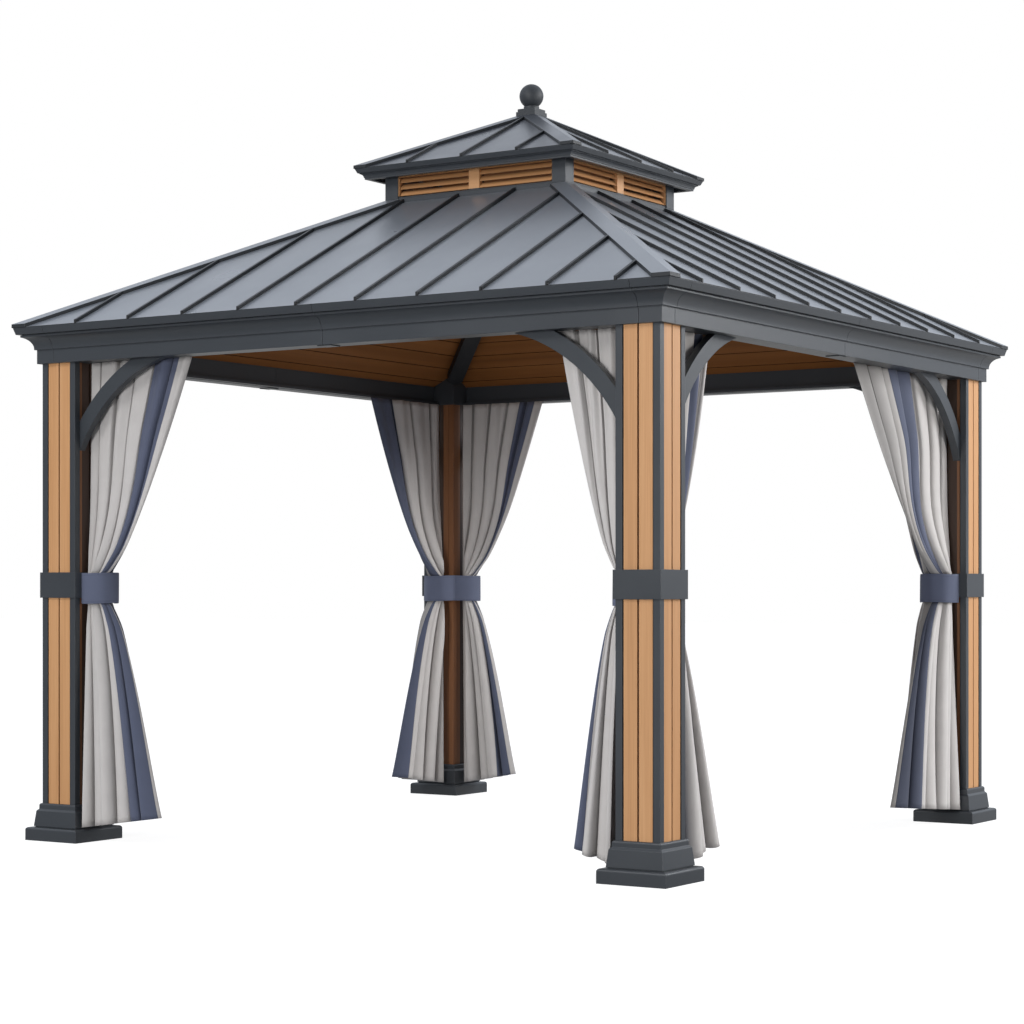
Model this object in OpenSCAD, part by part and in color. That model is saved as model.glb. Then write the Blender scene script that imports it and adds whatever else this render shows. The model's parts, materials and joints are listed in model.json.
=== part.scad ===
// Square metal gazebo with a two-tier standing-seam roof, board-clad posts and tied-back curtains.
// The origin is on the ground at the centre of the plan; +X is the right side and -Y the front.

/* [Overall] */
// Distance between post centres along each side
post_pitch = 2970; // [2400:10:3600]
// Clear height under the beams
beam_z = 2125; // [1950:5:2300]
// Slope of the main roof in degrees
roof_pitch = 27; // [22:0.5:31]
// Slope of the upper roof in degrees
upper_pitch = 25.5; // [20:0.5:30]

/* [Posts] */
// Width of a square post over its corner trims
post_w = 195; // [160:1:230]
// Width of a corner trim on each face
trim_w = 30; // [20:1:38]
// Thickness of a cladding board
board_t = 12; // [8:1:18]
// How far the boards lie behind the corner trims
board_recess = 3; // [1:0.5:6]
// Gap between a board and its trim
board_gap = 4; // [2:0.5:8]
// Groove between the two boards of a face
board_groove = 8; // [4:0.5:12]
// Wall of the post tube behind the boards
post_wall = 4; // [2:0.5:8]

/* [Bases] */
// Width of the square plinth
plinth_w = 303; // [270:1:340]
// Height of the plinth up to its rounded rim
plinth_h = 46; // [30:1:60]
// Radius of the plinth's rounded rim
plinth_rim = 12; // [6:1:16]
// Width of the shoe at its foot
shoe_w = 250; // [244:1:258]
// Width of the shoe at its shoulder
shoe_top_w = 234; // [228:1:240]
// Height of the tapered shoe
shoe_h = 68; // [50:1:90]
// Height of the cap moulding on the shoe
shoe_cap_h = 34; // [24:1:44]

/* [Bands] */
// Height of the band's lower edge
band_z = 1081; // [950:1:1200]
// Height of the band
band_h = 113; // [80:1:140]
// How far the band stands out from the post
band_proud = 8; // [4:0.5:12]

/* [Braces] */
// How far a brace reaches down the post
brace_drop = 390; // [330:5:450]
// How far a brace reaches along the beam
brace_reach = 485; // [420:5:540]
// Radius of the brace's lower edge
brace_r = 760; // [650:5:1000]
// Width of the brace between its two arcs
brace_w = 65; // [45:1:85]
// Thickness of a brace
brace_t = 36; // [24:1:48]

/* [Beams] */
// Width of the beam's underside
beam_w = 85; // [70:1:100]
// How far the frieze stands out from the post face
frieze_over = 17.5; // [6:0.5:30]
// Height of the flat frieze
frieze_h = 62; // [45:1:80]
// Depth of the cove moulding
cove_w = 43; // [34:1:50]
// Height of the cove moulding
cove_h = 52; // [46:1:60]
// How far the eave lip stands out from the cove
lip_out = 23; // [16:1:36]
// Height of the eave lip
lip_h = 29; // [20:1:40]
// Height of the beam's inner face up to the ceiling
inner_face_h = 101; // [80:1:120]
// Length of a corner piece measured from the frieze corner
corner_l = 101; // [88:1:140]
// Width of the seams between beam pieces
seam_w = 2; // [1.5:0.5:4]

/* [Roof] */
// Thickness of the roof sheet
sheet_t = 3; // [2:0.5:5]
// Number of sheet bays between the standing seams of a side
bays = 11; // [7:2:15]
// Width of a standing seam
rib_w = 13; // [9:1:20]
// Height of a standing seam
rib_h = 15; // [10:1:24]
// Width of one wing of a hip cap
hip_wing = 57; // [44:1:72]
// Height of a hip cap above the sheet
hip_h = 16; // [10:1:22]
// Thickness of the ceiling lining
lining_t = 12; // [9:1:18]
// Number of whole lining boards up each slope
lining_boards = 9; // [6:1:12]
// Width of a hip rafter
rafter_w = 84; // [60:1:110]
// Depth of a hip rafter
rafter_d = 60; // [40:1:64]

/* [Cupola] */
// Width of the cupola over its corner posts
cupola_w = 974; // [800:2:1100]
// Width of a cupola corner post
cupola_post_w = 70; // [50:1:90]
// Height of the sill above the roof sheet
sill_h = 18; // [12:1:30]
// Height of the louvred openings
louvre_h = 108; // [96:1:130]
// Width of the mullion between two louvre panels
mullion_w = 48; // [30:1:60]
// Number of slats in a louvre panel
slats = 3; // [2:1:4]
// How far the upper eave's face stands out from the cupola
upper_over = 68; // [50:1:90]
// How far the upper eave's face hangs below its soffit
upper_drop = 16; // [8:1:24]
// Number of sheet bays between the standing seams of an upper side
upper_bays = 4; // [2:2:6]
// Width of one wing of an upper hip cap
upper_wing = 48; // [36:1:60]

/* [Finial] */
// Width of the finial's square block
finial_w = 104; // [80:1:130]
// Diameter of the ball
ball_d = 112; // [90:1:130]

/* [Curtains] */
// Usual width of a curtain's heading along the rail
heading_w = 556; // [440:2:640]
// Depth of a curtain's pleats at the rail
heading_d = 46; // [30:1:50]
// How far the tied waist stands out from the post's band
waist_out = 100; // [84:1:120]
// Depth of the tied waist
waist_d = 180; // [160:2:190]
// Usual width of the hem
hem_w = 400; // [320:2:460]
// Depth of the hem
hem_d = 208; // [150:2:220]
// Height of the hem beside the post
hem_z = 66; // [62:1:90]
// How much higher the hem's free end hangs
hem_rise = 54; // [20:1:70]
// Height of a tie's lower edge
tie_z = 1055; // [960:1:1180]
// Height of a tie
tie_h = 138; // [100:1:160]
// Thickness of a tie
tie_t = 4; // [3:0.5:6]

/* [Hidden] */
$fn = 64;
// Overrun of every cut past the face that it opens
over = 20;

grade = tan(roof_pitch);
upper_grade = tan(upper_pitch);
half_pitch = post_pitch / 2;
post_half = post_w / 2;
clear_half = half_pitch - post_half;
band_half = post_half + band_proud;

// Boards lie two to a face in a recess between the corner trims
recess_d = board_t + board_recess;
panel_w = post_w - 2 * trim_w;
board_w = (panel_w - 2 * board_gap - board_groove) / 2;
board_face = post_half - board_recess;
board_tuck = 10;

// Base mouldings
shoe_gap_h = 4;
shoe_gap_d = 5;
shoe_z = plinth_h + plinth_rim + shoe_gap_h;
shoulder_z = shoe_z + shoe_h;
base_h = shoulder_z + shoe_cap_h;
cap_chamfer = 9;
cap_round = 10;

// Beam section, measured outward from the plan centre
frieze_half = half_pitch + post_half + frieze_over;
beam_in = frieze_half - beam_w;
cove_step = 9;
bead_h = 3;
fillet_h = 8;
groove_d = 6;
groove_h = 3;
lip_lean = 9;
cove_out = frieze_half + cove_step + cove_w;
eave_half = cove_out + lip_out;
lip_z = beam_z + frieze_h + bead_h + cove_h + fillet_h + groove_h + lip_h;
corner_seam = frieze_half - corner_l;
splice_l = 70;
splice_t = 4;
splice_inset = 10;
rail_d = 30;
rail_h = 14;
rail_up = 2;

// Main roof
sheet_rise = sheet_t / cos(roof_pitch);
cupola_half = cupola_w / 2;
hip_gap = 6;
hip_over = 4;
ceiling_z = beam_z + inner_face_h;
ceiling_gap = 16;
lining_groove_w = 7;
lining_groove_d = 5;
first_board_share = 0.45;
// Shift of the standing seams from an even layout, in bays, on the right, back, left and front
seam_shift_shares = [-0.17, 0.23, -0.17, 0.23];

// Cupola
curb_in = cupola_half - cupola_post_w;
curb_z = ceiling_z + (beam_in - cupola_half) * grade;
curb_drop = 12;
sill_z = lip_z + sheet_rise + (eave_half - cupola_half) * grade + sill_h;
soffit_z = sill_z + louvre_h;
louvre_frame = 9;
louvre_d = 40;
louvre_set = 6;
slat_d = 24;
slat_t = 8;
slat_pitch = (louvre_h - 2 * louvre_frame) / slats;
slat_cover_share = 0.87;
slat_drop = slat_pitch * slat_cover_share;

// Upper eave and roof
upper_face = cupola_half + upper_over;
upper_low_z = soffit_z - upper_drop;
upper_face_h = 8;
upper_bead_h = 1;
upper_step = 3;
upper_cove_w = 14;
upper_cove_h = 15;
upper_fillet_h = 2;
upper_groove_d = 2;
upper_groove_h = 2;
upper_lip_out = 16;
upper_lip_lean = 9;
upper_lip_h = 19;
upper_face_t = 20;
upper_eave = upper_face + upper_step + upper_cove_w + upper_lip_out;
upper_lip_z = upper_low_z + upper_face_h + upper_bead_h + upper_cove_h + upper_fillet_h
  + upper_groove_h + upper_lip_h;
upper_sheet_rise = sheet_t / cos(upper_pitch);
upper_rib_w = 12;
upper_rib_h = 13;
upper_hip_h = 14;
upper_lining_t = 10;

// Finial
finial_half = finial_w / 2;
finial_seat = upper_lip_z + (upper_eave - finial_half) * upper_grade;
finial_tail = 36;
block_h = 36;
neck_w = 93;
neck_h = 14;
collar_d = 72;
collar_h = 14;
ball_rise = 77;

// Curtains hang beside the posts; u runs along the beam and v into the room from the post centre
soft_gap = 0.3;
tie_gap = 1;
heading_v = 5;
waist_v = 30;
hem_v = -5;
hem_u = shoe_w / 2 + 9;
curtain_u = band_half + 2;
pair_gap = 4;
tie_slack = 18;
tie_steps = 18;
heading_z = beam_z + rail_up - soft_gap;
tie_top = tie_z + tie_h;
ring_points = 16;
ring_power_share = 0.9;
low_shares = [0, 0.13, 0.3, 0.5, 0.7, 0.86, 1];
high_shares = [0, 0.12, 0.3, 0.5, 0.75, 1];
low_curve_share = 0.68;
high_curve_share = 0.75;
thin_share = 0.5;

// Shares of the usual sizes at the front left, front right, back right and back left posts;
// each pair gives the front or back curtain and then the curtain of the other side
heading_shares = [[1.03, 0.98], [0.55, 0.66], [0.5, 1.88], [0.91, 1.11]];
hem_shares = [[0.94, 0.79], [0.43, 0.79], [0.36, 1.59], [0.58, 0.79]];
waist_shares = [[1, 1], [0.6, 0.6], [0.55, 1], [1, 1]];

SIDES = ["right", "back", "left", "front"];

PAINT = "#484d52";
SHEET = "#8f959e";
TIMBER = "#c4946c";
LINING = "#6b4526";
CLOTH = "#beb9b5";
BLUE = "#5f6880";

// Places children at a corner, with u and v pointing along the two sides that meet there
module at_corner(right, back) {
  mirror([right ? 1 : 0, 0, 0])
    mirror([0, back ? 1 : 0, 0])
      translate([-half_pitch, -half_pitch, 0]) children();
}

module at_every_corner() {
  for (right = [false, true], back = [false, true]) at_corner(right, back) children();
}

// Swaps u and v, so that a piece drawn along one side serves the other
module swapped(swap) {
  mirror([swap ? 1 : 0, swap ? -1 : 0, 0]) children();
}

// Turns a piece drawn on the right side to side number i
module on_side(i) {
  rotate(90 * i) children();
}

// Carries a section, drawn as radius and height, along the right side between two places
module run(from, to) {
  translate([0, to, 0])
    rotate([90, 0, 0])
      linear_extrude(to - from) children();
}

// Plan of one side between the two hips, drawn back from each hip by inset
module side_wedge(reach, inset, height) {
  start = inset * sqrt(2);
  linear_extrude(height)
    polygon([[start, 0], [reach, start - reach], [reach, reach - start]]);
}

// A slope of given vertical thickness, rising inward from height z at radius r_out
module slope(r_in, r_out, z, steepness, thickness, from, to) {
  rise = (r_out - r_in) * steepness;
  run(from, to)
    polygon([[r_in, z + rise], [r_out, z], [r_out, z + thickness], [r_in, z + rise + thickness]]);
}

// Solid pyramid under a roof surface that passes through height z at half width base
module pyramid(base, z, steepness) {
  intersection() {
    gable(base, z, steepness);
    rotate(90) gable(base, z, steepness);
  }
}

module gable(base, z, steepness) {
  run(-base, base)
    polygon([[-base, 0], [base, 0], [base, z], [0, z + base * steepness], [-base, z]]);
}

// Plan strip along all four hips
module hip_strips(reach, width, height) {
  for (i = [0:3])
    rotate(45 + 90 * i)
      translate([0, -width / 2, 0]) cube([reach * sqrt(2), width, height]);
}

// Square moulding: the section goes round the plan and is mitred at the corners
module mitred_ring(reach, height) {
  for (i = [0:3])
    on_side(i)
      intersection() {
        run(-reach, reach) children();
        side_wedge(reach, 0, height);
      }
}

// Frieze, cove and lip of an eave; s holds the steps from the frieze upward and outward
module eave_section(inner, face, low, s, steepness) {
  cove_foot = low + s[0] + s[1];
  cove_back = face + s[2];
  cove_front = cove_back + s[3];
  cove_radius = (s[3] * s[3] + s[4] * s[4]) / (2 * s[3]);
  fillet_top = cove_foot + s[4] + s[5];
  groove_top = fillet_top + s[7];
  edge = cove_front + s[8];
  top = groove_top + s[10];
  difference() {
    polygon([
      [inner, low], [face, low], [face, low + s[0]], [cove_back, low + s[0]], [cove_back, cove_foot],
      [cove_front, cove_foot], [cove_front, fillet_top], [cove_front - s[6], fillet_top],
      [cove_front - s[6], groove_top], [edge - s[9], groove_top], [edge, top],
      [inner, top + (edge - inner) * steepness]
    ]);
    translate([cove_back + cove_radius, cove_foot]) circle(cove_radius);
  }
}

module beam_section() {
  eave_section(beam_in, frieze_half, beam_z,
    [frieze_h, bead_h, cove_step, cove_w, cove_h, fillet_h, groove_d, groove_h, lip_out, lip_lean, lip_h],
    grade);
}

module upper_section() {
  difference() {
    eave_section(curb_in, upper_face, upper_low_z,
      [upper_face_h, upper_bead_h, upper_step, upper_cove_w, upper_cove_h, upper_fillet_h,
       upper_groove_d, upper_groove_h, upper_lip_out, upper_lip_lean, upper_lip_h],
      upper_grade);
    translate([0, upper_low_z - over])
      square([upper_face - upper_face_t, upper_drop + over]);
  }
}

// Post tube with a recess for the boards in each face
module post(right, back) {
  bore = post_w - 2 * (recess_d + post_wall);
  color(PAINT)
    at_corner(right, back)
      linear_extrude(beam_z)
        difference() {
          square(post_w, center = true);
          square(bore, center = true);
          for (i = [0:3])
            rotate(90 * i)
              translate([post_half - recess_d, -panel_w / 2]) square([recess_d + over, panel_w]);
          inner_corner(over);
        }
}

// Angle of a corner trim in plan, at the post's corner towards the room
module inner_corner(margin) {
  floor = post_half - recess_d;
  trim = post_half - trim_w;
  difference() {
    translate([trim, trim]) square(trim_w + margin);
    translate([trim - over, trim - over]) square(floor - trim + over);
  }
}

// Two boards on each face, and a timber angle in place of the trim at the inner corner
module post_boards(right, back) {
  foot = base_h - board_tuck;
  height = beam_z - foot;
  color(TIMBER)
    at_corner(right, back)
      translate([0, 0, foot]) {
        for (i = [0:3], side = [-1, 1])
          rotate(90 * i)
            translate([board_face - board_t, side * (board_groove + board_w) / 2 - board_w / 2, 0])
              cube([board_t, board_w, height]);
        linear_extrude(height) inner_corner(0);
      }
}

// Plinth with a rounded rim, tapered shoe and cap moulding, all round the foot of a post
module base_section() {
  plinth = plinth_w / 2;
  foot = shoe_w / 2;
  shoulder = shoe_top_w / 2;
  rim_z = plinth_h + plinth_rim;
  cap = shoulder - cap_chamfer;
  difference() {
    union() {
      square([plinth, plinth_h]);
      square([plinth - plinth_rim, rim_z]);
      translate([plinth - plinth_rim, plinth_h]) circle(plinth_rim);
      square([foot - shoe_gap_d, shoe_z]);
      polygon([
        [0, shoe_z], [foot, shoe_z], [shoulder, shoulder_z], [cap, shoulder_z + cap_chamfer],
        [cap, base_h - cap_round], [0, base_h - cap_round]
      ]);
      square([cap - cap_round, base_h]);
      translate([cap - cap_round, base_h - cap_round]) circle(cap_round);
    }
    square([post_half, base_h]);
  }
}

module post_bases() {
  color(PAINT)
    at_every_corner()
      mitred_ring(plinth_w, base_h + over) base_section();
}

module post_bands() {
  color(PAINT)
    at_every_corner()
      translate([0, 0, band_z])
        linear_extrude(band_h)
          difference() {
            square(2 * band_half, center = true);
            square(post_w, center = true);
          }
}

// Curved brace between two concentric arcs, drawn along the beam and down the post
module brace_outline() {
  chord = norm([brace_reach, brace_drop]);
  reach = sqrt(brace_r * brace_r - chord * chord / 4);
  centre = [brace_reach / 2 + reach * brace_drop / chord, -brace_drop / 2 - reach * brace_reach / chord];
  intersection() {
    translate([0, -brace_drop]) square([brace_reach, brace_drop]);
    translate(centre)
      difference() {
        circle(brace_r + brace_w);
        circle(brace_r);
      }
  }
}

module corner_braces() {
  outer = half_pitch - beam_in - brace_t;
  color(PAINT)
    at_every_corner()
      for (swap = [false, true])
        swapped(swap)
          translate([board_face, outer + brace_t, beam_z])
            rotate([90, 0, 0])
              linear_extrude(brace_t) brace_outline();
}

// Each beam is two lengths with a seam in the middle, between the corner pieces
module beam(i) {
  color(PAINT)
    on_side(i)
      for (half = [false, true])
        mirror([0, half ? 1 : 0, 0])
          run(seam_w / 2, corner_seam - seam_w / 2) beam_section();
}

module beam_corners() {
  reach = eave_half + over;
  height = lip_z + beam_w + eave_half - frieze_half;
  color(PAINT)
    for (i = [0:3])
      on_side(i)
        for (swap = [false, true])
          swapped(swap)
            intersection() {
              run(corner_seam + seam_w / 2, reach) beam_section();
              side_wedge(reach, 0, height + over);
            }
}

// Blocks that stand on the posts inside the beams and carry the hip rafters
module post_heads() {
  size = beam_in - clear_half;
  color(PAINT)
    intersection() {
      at_every_corner()
        translate([half_pitch - beam_in, half_pitch - beam_in, beam_z])
          cube([size, size, inner_face_h + size * grade]);
      pyramid(beam_in, ceiling_z, grade);
    }
}

module beam_splices() {
  color(PAINT)
    for (i = [0:3])
      on_side(i)
        translate([beam_in + splice_inset, -splice_l / 2, beam_z - splice_t])
          cube([beam_w - 2 * splice_inset, splice_l, splice_t]);
}

// Sheet of one side with its standing seams, which end at the hip caps
module seamed_slope(r_in, r_out, z, steepness, rise, count, seam_width, seam_height, wing, shift) {
  bay = 2 * r_out / count;
  height = z + r_out;
  intersection() {
    slope(r_in, r_out, z, steepness, rise, -r_out, r_out);
    side_wedge(r_out + over, hip_gap, height);
  }
  intersection() {
    for (k = [1:count - 1])
      let (middle = (k + shift) * bay - r_out)
        slope(r_in, r_out, z, steepness, rise + seam_height,
          middle - seam_width / 2, middle + seam_width / 2);
    side_wedge(r_out + over, wing, height);
  }
}

module roof(i) {
  color(SHEET)
    on_side(i)
      seamed_slope(cupola_half, eave_half, lip_z, grade, sheet_rise, bays, rib_w, rib_h, hip_wing,
        seam_shift_shares[i]);
}

// Folded caps that cover the four hips
module caps_on_hips(r_in, r_out, z, steepness, height, wing) {
  base = r_out + hip_over;
  foot = z - hip_over * steepness;
  top = z + r_out;
  intersection() {
    difference() {
      pyramid(base, foot + height, steepness);
      pyramid(base + over, foot - over * steepness, steepness);
      linear_extrude(top) square(2 * r_in, center = true);
    }
    hip_strips(base, 2 * wing, top);
  }
}

module hip_caps() {
  color(SHEET)
    caps_on_hips(cupola_half, eave_half, lip_z + sheet_rise, grade, hip_h, hip_wing);
}

// Lining boards of the four slopes, with grooves between the boards
module ceiling() {
  board = (beam_in - cupola_half) / (lining_boards + first_board_share);
  color(LINING)
    for (i = [0:3])
      on_side(i)
        intersection() {
          difference() {
            slope(cupola_half, beam_in, ceiling_z, grade, lining_t, -beam_in, beam_in);
            for (k = [0:lining_boards - 1])
              let (up = (k + first_board_share) * board)
                slope(beam_in - up - lining_groove_w, beam_in - up,
                  ceiling_z + up * grade - over, grade, lining_groove_d + over,
                  -beam_in, beam_in);
          }
          side_wedge(beam_in + over, ceiling_gap, ceiling_z + beam_in);
        }
}

// Box rafters under the four hips, from the post heads to the cupola curb
module hip_rafters() {
  hip_grade = grade / sqrt(2);
  reach = beam_in * sqrt(2);
  color(PAINT)
    intersection() {
      pyramid(beam_in, ceiling_z, grade);
      for (i = [0:3])
        rotate(45 + 90 * i)
          slope(0, reach, ceiling_z - rafter_d, hip_grade, 2 * rafter_d, -rafter_w / 2, rafter_w / 2);
      difference() {
        linear_extrude(ceiling_z + beam_in) square(2 * clear_half, center = true);
        translate([0, 0, -over])
          linear_extrude(ceiling_z + beam_in + 2 * over) square(cupola_w, center = true);
      }
    }
}

// Square curb that the roof, the ceiling and the rafters meet; its top is the louvres' sill
module cupola_curb() {
  color(PAINT)
    translate([0, 0, curb_z - curb_drop])
      linear_extrude(sill_z - curb_z + curb_drop)
        difference() {
          square(cupola_w, center = true);
          square(2 * curb_in, center = true);
        }
}

module cupola_posts() {
  color(PAINT)
    for (i = [0:3])
      on_side(i)
        translate([curb_in, curb_in, sill_z])
          cube([cupola_post_w, cupola_post_w, louvre_h]);
}

// Two louvred panels in one frame, with a mullion between them
module louvre(i) {
  front = cupola_half - louvre_set;
  back = front - louvre_d;
  color(TIMBER)
    on_side(i) {
      difference() {
        translate([back, -curb_in, sill_z]) cube([louvre_d, 2 * curb_in, louvre_h]);
        for (side = [-1, 1])
          translate([back - over, side * (curb_in + mullion_w / 2) / 2, sill_z + louvre_h / 2])
            louvre_light();
      }
      for (k = [0:slats - 1])
        translate([0, 0, sill_z + louvre_frame + (k + 1) * slat_pitch])
          run(louvre_frame - curb_in, curb_in - louvre_frame)
            polygon([
              [front - slat_d - slat_t, 0], [front - slat_t, -slat_drop],
              [front, -slat_drop], [front - slat_d, 0]
            ]);
    }
}

// Clear opening of one louvre panel
module louvre_light() {
  width = curb_in - mullion_w / 2 - louvre_frame;
  height = louvre_h - 2 * louvre_frame;
  translate([0, -width / 2, -height / 2]) cube([louvre_d + 2 * over, width, height]);
}

module upper_eave() {
  reach = upper_eave + over;
  color(PAINT)
    mitred_ring(reach, upper_lip_z + reach) upper_section();
}

module upper_roof() {
  color(SHEET)
    for (i = [0:3])
      on_side(i)
        seamed_slope(finial_half, upper_eave, upper_lip_z, upper_grade, upper_sheet_rise,
          upper_bays, upper_rib_w, upper_rib_h, upper_wing, 0);
}

module upper_hip_caps() {
  color(SHEET)
    caps_on_hips(finial_half, upper_eave, upper_lip_z + upper_sheet_rise, upper_grade,
      upper_hip_h, upper_wing);
}

module upper_ceiling() {
  color(LINING)
    translate([0, 0, soffit_z])
      linear_extrude(upper_lining_t) square(2 * curb_in, center = true);
}

// Square block over the apex, stepped neck and ball
module finial() {
  top = finial_seat + block_h;
  color(PAINT) {
    translate([0, 0, finial_seat - finial_tail])
      linear_extrude(finial_tail + block_h) square(finial_w, center = true);
    translate([0, 0, top])
      linear_extrude(neck_h) square(neck_w, center = true);
    translate([0, 0, top + neck_h]) cylinder(h = collar_h, d = collar_d);
    translate([0, 0, top + ball_rise]) sphere(d = ball_d);
  }
}

module curtain_rails() {
  color(PAINT)
    for (i = [0:3])
      on_side(i)
        translate([beam_in - rail_d, -clear_half, beam_z + rail_up])
          cube([rail_d, 2 * clear_half, rail_h]);
}

function mix(a, b, t) = a + (b - a) * t;

// Number of a corner in the tables of shares
function corner_of(right, back) = back ? (right ? 2 : 3) : (right ? 1 : 0);

// One point of a squarish oval that spans a width and a depth
function oval(start, width, middle, depth, a) =
  let (
    x = sign(cos(a)) * pow(abs(cos(a)), ring_power_share),
    y = sign(sin(a)) * pow(abs(sin(a)), ring_power_share)
  )
  [start + (1 + x) * width / 2, middle + y * depth / 2];

// Centre and radius of the arc that a tied waist follows
function waist_radius(share) = share * waist_d / 2;
function waist_centre(share) =
  [band_half + share * waist_out - waist_radius(share), share * waist_v];

// One point of a tied waist: an arc kept clear of the post and of the other curtain of the pair
function waist(share, a) =
  let (
    p = waist_centre(share) + waist_radius(share) * [cos(a), sin(a)],
    u = max(curtain_u, p.x)
  )
  [u, min(p.y, u - pair_gap)];

// Ring between the hem, at share 0, and the lower edge of the tie, at share 1
function low_ring(share, tied, hem_width) =
  let (spread = pow(1 - share, low_curve_share))
  [for (k = [0:ring_points - 1])
    let (
      a = 360 * k / ring_points,
      p = mix(waist(tied, a), oval(hem_u, hem_width, hem_v, hem_d, a), spread)
    )
    [p.x, p.y, mix(hem_z, tie_z, share) + (share == 0 ? hem_rise * (1 + cos(a)) / 2 : 0)]];

// Ring between the upper edge of the tie, at share 0, and the heading, at share 1
function high_ring(share, tied, heading_width) =
  let (spread = pow(share, high_curve_share), thin = min(1, share / thin_share))
  [for (k = [0:ring_points - 1])
    let (
      a = 360 * k / ring_points,
      low = waist(tied, a),
      high = oval(curtain_u, heading_width, heading_v, heading_d, a)
    )
    [mix(low.x, high.x, spread), mix(low.y, high.y, thin), mix(tie_top, heading_z, share)]];

// Curtain gathered at its rail, drawn in by the tie and flared to the hem
module curtain(right, back, swap) {
  corner = corner_of(right, back);
  side = swap ? 1 : 0;
  tied = waist_shares[corner][side];
  rings = concat(
    [for (s = low_shares) low_ring(s, tied, hem_w * hem_shares[corner][side])],
    [for (s = high_shares) high_ring(s, tied, heading_w * heading_shares[corner][side])]
  );
  n = ring_points;
  last = (len(rings) - 1) * n;
  color(CLOTH)
    at_corner(right, back)
      swapped(swap)
        polyhedron(
          points = [for (ring = rings, p = ring) p],
          faces = concat(
            [[for (k = [0:n - 1]) k]],
            [for (r = [0:n:last - n], k = [0:n - 1])
              [r + k, r + n + k, r + n + (k + 1) % n, r + (k + 1) % n]],
            [[for (k = [n - 1:-1:0]) last + k]]
          )
        );
}

// One edge of a tie round a waist: from the post's band, round the free end, towards the inner corner
function tie_edge(centre, radius, apex) =
  let (
    away = [apex, apex] - centre,
    first = -acos((band_half - centre.x) / radius),
    last = atan2(away.y, away.x) - acos(radius / norm(away))
  )
  [for (k = [0:tie_steps])
    let (a = mix(first, last, k / tie_steps))
    centre + radius * [cos(a), sin(a)]];

// The edges round both waists of a pair, with the inner corner between them
function tie_loop(shares, thickness, apex) =
  let (
    edges = [for (s = shares)
      tie_edge(waist_centre(s), waist_radius(s) + tie_gap + thickness, apex + thickness)]
  )
  concat(
    edges[0], [[apex + thickness, apex + thickness]],
    [for (k = [tie_steps:-1:0]) [edges[1][k].y, edges[1][k].x]]
  );

// Strap from the side of the post's band round both curtains and back to the band
module tie(right, back) {
  shares = waist_shares[corner_of(right, back)];
  apex = band_half + max(shares) * tie_slack;
  outer = tie_loop(shares, tie_t, apex);
  inner = tie_loop(shares, 0, apex);
  color(BLUE)
    at_corner(right, back)
      translate([0, 0, tie_z])
        linear_extrude(tie_h)
          polygon(concat(outer, [for (k = [len(inner) - 1:-1:0]) inner[k]]));
}

post(false, false);  // front_left_post
post(true, false);  // front_right_post
post(true, true);  // back_right_post
post(false, true);  // back_left_post
post_boards(false, false);  // front_left_boards
post_boards(true, false);  // front_right_boards
post_boards(true, true);  // back_right_boards
post_boards(false, true);  // back_left_boards
post_bases();
post_bands();
corner_braces();
for (i = [0:3]) {
  beam(i);
  roof(i);
  louvre(i);
}
beam_corners();
post_heads();
beam_splices();
hip_caps();
ceiling();
hip_rafters();
cupola_curb();
cupola_posts();
upper_eave();
upper_roof();
upper_hip_caps();
upper_ceiling();
finial();
curtain_rails();
curtain(false, false, false);  // front_curtain_left
curtain(true, false, false);  // front_curtain_right
curtain(true, false, true);  // right_curtain_front
curtain(true, true, true);  // right_curtain_back
curtain(true, true, false);  // back_curtain_right
curtain(false, true, false);  // back_curtain_left
curtain(false, true, true);  // left_curtain_back
curtain(false, false, true);  // left_curtain_front
tie(false, false);  // front_left_tie
tie(true, false);  // front_right_tie
tie(true, true);  // back_right_tie
tie(false, true);  // back_left_tie
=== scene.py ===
"""Dress a square metal gazebo: painted frame, seamed roof, timber, gathered curtains and their ties."""

import json
import logging
import math
from dataclasses import dataclass
from enum import Enum
from functools import cached_property
from typing import Any, Optional, Union

import bpy
import numpy as np
from numpy.typing import NDArray
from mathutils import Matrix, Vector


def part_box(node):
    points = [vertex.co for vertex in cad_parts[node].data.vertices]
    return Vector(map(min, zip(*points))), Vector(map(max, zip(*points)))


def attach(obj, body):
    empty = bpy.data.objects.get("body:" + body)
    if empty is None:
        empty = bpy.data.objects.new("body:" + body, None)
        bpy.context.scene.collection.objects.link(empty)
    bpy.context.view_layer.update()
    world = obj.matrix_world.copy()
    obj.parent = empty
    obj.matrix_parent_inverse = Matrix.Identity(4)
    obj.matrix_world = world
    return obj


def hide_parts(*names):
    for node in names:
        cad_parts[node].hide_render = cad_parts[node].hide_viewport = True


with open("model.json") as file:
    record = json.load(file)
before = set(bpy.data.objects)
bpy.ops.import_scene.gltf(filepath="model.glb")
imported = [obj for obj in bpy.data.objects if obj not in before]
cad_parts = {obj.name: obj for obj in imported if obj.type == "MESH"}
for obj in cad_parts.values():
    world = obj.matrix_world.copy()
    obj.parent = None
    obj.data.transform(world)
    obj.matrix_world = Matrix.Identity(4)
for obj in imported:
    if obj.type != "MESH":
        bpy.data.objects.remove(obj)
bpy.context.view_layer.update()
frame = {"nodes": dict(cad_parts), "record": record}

LOG = logging.getLogger("gazebo")
BODY = "root"
MILLIMETRE = 0.001
TURN = 2 * math.pi
MAIN_PITCH = math.radians(27.0)
UPPER_PITCH = math.radians(25.5)

Array = NDArray[np.float64]
Colour = tuple[float, float, float]


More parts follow.
